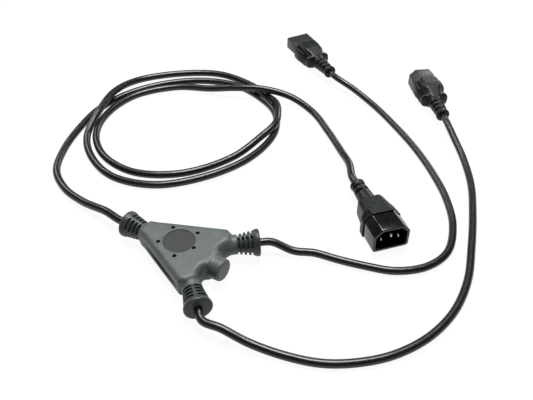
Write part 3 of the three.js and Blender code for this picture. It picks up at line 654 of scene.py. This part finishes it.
def makeJunction():
    j, d = junctionSettings, junctionDetail
    piece = objectOf("junctionBody", [slabShell(), stubShell()] + [armShell(*arm) for arm in arms.values()])
    remeshed(piece, d["voxel"])
    eased(piece, 24, saddleWeight)
    eased(piece, 6)
    for side in (1, -1):
        carved(piece, [grooveShell(side)])
    for turn, reach in arms.values():
        start = reach - j["glandLength"]
        starts = [start + 0.6 + i * d["slotPitch"] for i in range(d["slotCount"])]
        shells = slotShells(starts, d["slotWidth"], lambda x: glandRadius(x, reach) + 1,
                            lambda x: glandRadius(x, reach) - (j["neckRadius"] - d["slotFloor"]))
        carved(piece, [moved(shell, turnedTo(turn, hub)) for shell in shells])
    remeshed(piece, d["fineVoxel"])
    eased(piece, 2)
    top = j["slabHalfThickness"]
    upright = Matrix.Translation(hub) @ Matrix.Rotation(-pi / 2, 4, "Y")
    disc = turnedShell([(top - j["discDepth"], j["discRadius"]), (top, j["discRadius"] + 0.12),
                        (top + 1, j["discRadius"] + 1)], 96)
    carved(piece, [moved(disc, upright)])
    for ring, angle in j["holes"]:
        hole = turnedShell([(top - j["holeDepth"], j["holeRadius"]), (top - 0.05, j["holeRadius"]),
                            (top + 0.1, j["holeRadius"] + 0.12), (top + 1, j["holeRadius"] + 1.1)], 32)
        shift = Matrix.Translation((ring * cos(radians(angle)), ring * sin(radians(angle)), 0))
        carved(piece, [moved(hole, shift @ upright)])
    finished(piece, "junction_overmould", ["junctionPvc", "discPaintedShadePvc", "glandPaintedShadePvc"])
    # Flat polygons on the disc's floor take the disc's darker copy of the PVC: painted shade
    floorHeight = (hub.z + top - j["discDepth"]) * mm
    for polygon in piece.data.polygons:
        centre = polygon.center
        flat = polygon.normal.z > 0.9 and abs(centre.z - floorHeight) < 0.00008
        if flat and hypot(centre.x - hubX * mm, centre.y) < j["discRadius"] * mm:
            polygon.material_index = 1
        # Polygons on the glands take the glands' darker copy of the PVC: painted shade
        for turn, reach in arms.values():
            if (centre / mm - hub).dot(armDirection(turn)) > reach - j["glandLength"]:
                polygon.material_index = 2
    return smoothShaded(piece, 50)


junctionBody = makeJunction()
print("junction ready,", len(junctionBody.data.polygons), "faces")


def reliefShell(length, rearRadius, frontRadius, ringRadius, ringLength):
    def radiusAt(x):
        return rearRadius + (frontRadius - rearRadius) * x / length
    profile = [(0, ringRadius - 0.6), (0.6, ringRadius), (ringLength - 0.6, ringRadius),
               (ringLength, radiusAt(ringLength)), (length, frontRadius)]
    return turnedShell(profile, 48), radiusAt


# Inlet plug body: strain relief, square block, and a hood round the shroud's root
plugDetail = {
    "reliefLength": 27, "reliefRear": 5.4, "reliefFront": 7.3,
    "ringRadius": 6.1, "ringLength": 3.2,
    "slotStarts": [5.0, 11.0], "slotWidth": 2.0, "slotDepth": 1.8,
    "shroudHalf": (14.5, 10.5), "shroudChamfer": 6.0, "shroudRound": 3.0, "shroudWall": 2.0,
    "recessDepth": 17, "length": 65, "hoodFront": 47.5,
    "pins": {"earth": (0, 2, 64), "live": (7, -2, 62), "neutral": (-7, -2, 62)},
    "pinRoot": 47, "pinHalf": (1, 2), "pinCornerRound": 0.3,
}


def makePlugBody():
    d = plugDetail
    matrix = placeMatrix(plugPlace)
    relief, radiusAt = reliefShell(d["reliefLength"], d["reliefRear"], d["reliefFront"], d["ringRadius"],
                                   d["ringLength"])
    front = d["hoodFront"]
    block = loftShell([keyedRing(25, 10.4, 8.6, 3.2, 3.0, 1.2), keyedRing(41, 12.3, 10.6, 3.2, 3.0, 1.2)])
    hood = loftShell([
        keyedRing(front - 8.5, 12.3, 10.6, 3.2, 3.0, 1.2), keyedRing(front - 5.5, 15.0, 11.5, 7.2, 3.6, 1.0),
        keyedRing(front, 15.4, 11.8, 7.3, 3.8, 1.0),
    ])
    piece = objectOf("plugBody", [relief, block, hood], matrix)
    remeshed(piece, 0.42)
    slots = slotShells(d["slotStarts"], d["slotWidth"], lambda x: radiusAt(x) + 0.6,
                       lambda x: radiusAt(x) - d["slotDepth"])
    carved(piece, [moved(shell, matrix) for shell in slots])
    w, h = d["shroudHalf"]
    mouth = loftShell([
        keyedRing(front - 4.6, w + 0.15, h + 0.15, d["shroudChamfer"], d["shroudRound"]),
        keyedRing(front + 1, w + 0.25, h + 0.25, d["shroudChamfer"], d["shroudRound"]),
    ])
    carved(piece, [moved(mouth, matrix)])
    remeshed(piece, 0.36)
    eased(piece, 2)
    finished(piece, "plug_overmould", "bodyPvc")
    return smoothShaded(piece)


def makePlugShroud():
    d = plugDetail
    matrix = placeMatrix(plugPlace)
    w, h = d["shroudHalf"]
    t = d["shroudWall"]
    piece = objectOf("plugShroud", [loftShell([
        keyedRing(d["hoodFront"] - 4.2, w, h, d["shroudChamfer"], d["shroudRound"]),
        keyedRing(d["length"], w, h, d["shroudChamfer"], d["shroudRound"]),
    ])], matrix)
    recess = loftShell([
        keyedRing(x, w - t, h - t, d["shroudChamfer"] - t * 0.6, d["shroudRound"] - 0.8, 0.4)
        for x in (d["length"] - d["recessDepth"], d["length"] + 1)
    ])
    carved(piece, [moved(recess, matrix)])
    bevelled(piece, 0.35, 50)
    finished(piece, "plug_shroud", "shroudPlastic")
    return smoothShaded(piece, 35)


def makePin(wire, side, height, tip):
    d = plugDetail
    matrix = placeMatrix(plugPlace)
    w, h = d["pinHalf"]
    rings = []
    for x, y, z in [(d["pinRoot"], w, h), (tip - 2.2, w, h), (tip - 1.0, w * 0.86, h * 0.91),
                    (tip - 0.35, w * 0.62, h * 0.75), (tip, w * 0.35, h * 0.55)]:
        corners = [(-y, -z), (y, -z), (y, z), (-y, z)]
        ring = roundedRing(0, corners, [d["pinCornerRound"]] * 4, 3)
        rings.append([(x, side + a, height + b) for _, a, b in ring])
    piece = objectOf("plugPin" + wire.capitalize(), [loftShell(rings)], matrix)
    finished(piece, f"plug_{wire}_pin", "nickelledBrass")
    return smoothShaded(piece, 40)


makePlugBody()
makePlugShroud()
for wire, (side, height, tip) in plugDetail["pins"].items():
    makePin(wire, side, height, tip)
print("plug ready")

# Outlet connectors: a keyed nose, side lobes and a raised spine, finger ears, strain relief
connectorDetail = {
    "bodyRear": 28, "shoulder": 51, "length": 69,
    "lobeHalf": (14, 8.4), "spineHalf": (9.6, 10.9), "spineChamfer": 2.4,
    "earHalf": (12.6, 7.0), "earRear": 24, "earFront": 31.5,
    "reliefRear": 5.2, "reliefFront": 7.2, "ringRadius": 6.1, "ringLength": 3.2,
    "slotStarts": [5.6, 11.0, 16.4], "slotWidth": 1.7, "slotDepth": 1.7,
    "channel": {"from": 36, "to": 50.5, "side": 9.7, "width": 1.2, "floor": 5.0},
    "noseHalf": (12, 8), "noseChamfer": 5.4, "noseRound": 1.6,
    "sockets": [(0, 2), (7, -2), (-7, -2)], "socketHalf": (1.3, 2.35), "socketDepth": 14,
}


def makeConnectorBody(name, node, place):
    d = connectorDetail
    matrix = placeMatrix(place)
    rear, shoulder = d["bodyRear"], d["shoulder"]
    relief, radiusAt = reliefShell(rear - 1, d["reliefRear"], d["reliefFront"], d["ringRadius"],
                                   d["ringLength"])
    w, h = d["lobeHalf"]
    lobes = loftShell([softRing(x, w * a, h * b) for x, a, b in [
        (33.2, 0.52, 0.66), (34.4, 0.74, 0.84), (37.5, 0.93, 0.97), (41.5, 1, 1), (shoulder - 4, 1, 1),
        (shoulder - 1, 0.97, 0.97), (shoulder, 0.91, 0.93)]])
    w, h = d["spineHalf"]
    c = d["spineChamfer"]
    spine = loftShell([keyedRing(x, w * a, h * b, c, c) for x, a, b in [
        (rear - 4, 0.6, 0.62), (rear + 3, 0.74, 0.82), (rear + 8, 0.95, 0.97), (rear + 12, 1, 1),
        (shoulder - 1.5, 1, 1), (shoulder, 0.92, 0.91)]])
    w, h = d["earHalf"]
    ears = loftShell([softRing(x, w * a, h * b) for x, a, b in [
        (d["earRear"], 0.8, 0.8), (d["earRear"] + 1.6, 1, 1), (d["earFront"] - 3, 1, 1),
        (d["earFront"], 0.8, 0.9)]])
    piece = objectOf(name, [relief, lobes, spine, ears], matrix)
    remeshed(piece, 0.42)
    slots = slotShells(d["slotStarts"], d["slotWidth"], lambda x: radiusAt(x) + 0.6,
                       lambda x: radiusAt(x) - d["slotDepth"])
    carved(piece, [moved(shell, matrix) for shell in slots])
    c = d["channel"]
    for side in (1, -1):
        for up in (1, -1):
            walls = sorted((side * c["side"], side * (c["side"] + c["width"])))
            levels = sorted((up * c["floor"], up * 12))
            channel = boxShell((c["from"], walls[0], levels[0]), (c["to"], walls[1], levels[1]))
            carved(piece, [moved(channel, matrix)])
    remeshed(piece, 0.36)
    eased(piece, 3)
    finished(piece, node, "bodyPvc")
    return smoothShaded(piece)


def makeConnectorNose(name, node, place):
    d = connectorDetail
    matrix = placeMatrix(place)
    front = d["length"]
    w, h = d["noseHalf"]
    rings = [keyedRing(x, w - inset, h - inset, d["noseChamfer"], d["noseRound"], 0.5) for x, inset in
             [(d["shoulder"] - 2, 0), (front - 0.6, 0), (front - 0.2, 0.2), (front, 0.6)]]
    piece = objectOf(name, [loftShell(rings)], matrix)
    a, b = d["socketHalf"]
    for side, height in d["sockets"]:
        slot = boxShell((front - d["socketDepth"], side - a, height - b), (front + 1, side + a, height + b))
        carved(piece, [moved(slot, matrix)])
    bevelled(piece, 0.2, 60, 2)
    finished(piece, node, "nosePlastic")
    return smoothShaded(piece, 35)


for letter, place in (("A", connectorAPlace), ("B", connectorBPlace)):
    node = "connector_" + letter.lower()
    makeConnectorBody("connectorBody" + letter, node + "_overmould", place)
    makeConnectorNose("connectorNose" + letter, node + "_insert", place)
print("connectors ready")

# Inner pieces keep the part's own shapes
innerFinishes = {
    "splice_carrier": "carrierNylon", "_splice": "tinnedCopper", "_contact": "springBrass",
    "earth_core": "earthSheath", "live_core": "liveSheath", "neutral_core": "neutralSheath",
}
for nodeName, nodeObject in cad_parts.items():
    for ending, finish in innerFinishes.items():
        if nodeName.endswith(ending):
            for materialSlot in nodeObject.material_slots:
                materialSlot.material = finishes[finish]
print("inner pieces ready")

# White floor: camera rays see it almost white, with the object's shadow left faintly in it
floorSettings = {"size": 3.0, "whiteShare": 0.94}
floorMaterial = bpy.data.materials.new("paperFloor")
floorMaterial.use_nodes = True
tree = floorMaterial.node_tree
tree.nodes.clear()
paper = addNode(tree, "ShaderNodeBsdfDiffuse", {"Color": linear("#f4f4f4")})
white = addNode(tree, "ShaderNodeEmission", {"Color": (1, 1, 1, 1), "Strength": 1.0})
rays = addNode(tree, "ShaderNodeLightPath")
seen = addNode(tree, "ShaderNodeMath", {"operation": "MAXIMUM"},
               {0: rays.outputs["Is Camera Ray"], 1: rays.outputs["Is Glossy Ray"]})
share = addNode(tree, "ShaderNodeMath", {"operation": "MULTIPLY", 1: floorSettings["whiteShare"]},
                {0: seen.outputs[0]})
mix = addNode(tree, "ShaderNodeMixShader", None,
              {0: share.outputs[0], 1: paper.outputs[0], 2: white.outputs[0]})
addNode(tree, "ShaderNodeOutputMaterial", None, {"Surface": mix.outputs[0]})
half = floorSettings["size"] / 2
floorMesh = bpy.data.meshes.new("floor")
corners = [(-half, -half, 0), (half, -half, 0), (half, half, 0), (-half, half, 0)]
floorMesh.from_pydata(corners, [], [(0, 1, 2, 3)])
floorMesh.materials.append(floorMaterial)
floor = bpy.data.objects.new("floor", floorMesh)
scene.collection.objects.link(floor)

# World: white to the camera, and a dim ceiling above brighter walls for the rest
world = bpy.data.worlds.new("studio")
scene.world = world
world.use_nodes = True
tree = world.node_tree
tree.nodes.clear()
rays = addNode(tree, "ShaderNodeLightPath")
sky = addNode(tree, "ShaderNodeTexCoord")
height = addNode(tree, "ShaderNodeSeparateXYZ", None, {0: sky.outputs["Generated"]})
walls = rampOf(tree, height.outputs["Z"], [(0.0, 0.4), (0.2, 0.2), (0.45, 0.05), (1.0, 0.05)])
soft = addNode(tree, "ShaderNodeBackground", {"Strength": 1.0}, {"Color": walls.outputs["Color"]})
bright = addNode(tree, "ShaderNodeBackground", {"Color": (1, 1, 1, 1), "Strength": 1.0})
mix = addNode(tree, "ShaderNodeMixShader", None,
              {0: rays.outputs["Is Camera Ray"], 1: soft.outputs[0], 2: bright.outputs[0]})
addNode(tree, "ShaderNodeOutputWorld", None, {"Surface": mix.outputs[0]})

# Softboxes: a large one overhead for the top faces, and two small low ones behind, left and right,
# that draw bright lines along the edges
lampSettings = {
    "topLamp": {"right": 0.05, "back": 0.3, "up": 1.25, "size": 0.6, "watts": 27.0},
    "edgeLamp": {"right": -0.75, "back": 0.87, "up": 0.91, "size": 0.45, "watts": 5.0},
    "rightLamp": {"right": 0.6, "back": 1.2, "up": 0.42, "size": 0.4, "watts": 3.0},
}
for name, lamp in lampSettings.items():
    light = bpy.data.lights.new(name, "AREA")
    light.shape = "SQUARE"
    light.size = lamp["size"]
    light.energy = lamp["watts"]
    lampObject = bpy.data.objects.new(name, light)
    lampObject.location = (middle + viewRight * lamp["right"] + viewBack * lamp["back"]
                           + Vector((0, 0, lamp["up"])))
    lampObject.rotation_euler = (middle - lampObject.location).to_track_quat("-Z", "Y").to_euler()
    scene.collection.objects.link(lampObject)
scene.view_settings.view_transform = "Standard"
print("stage ready")
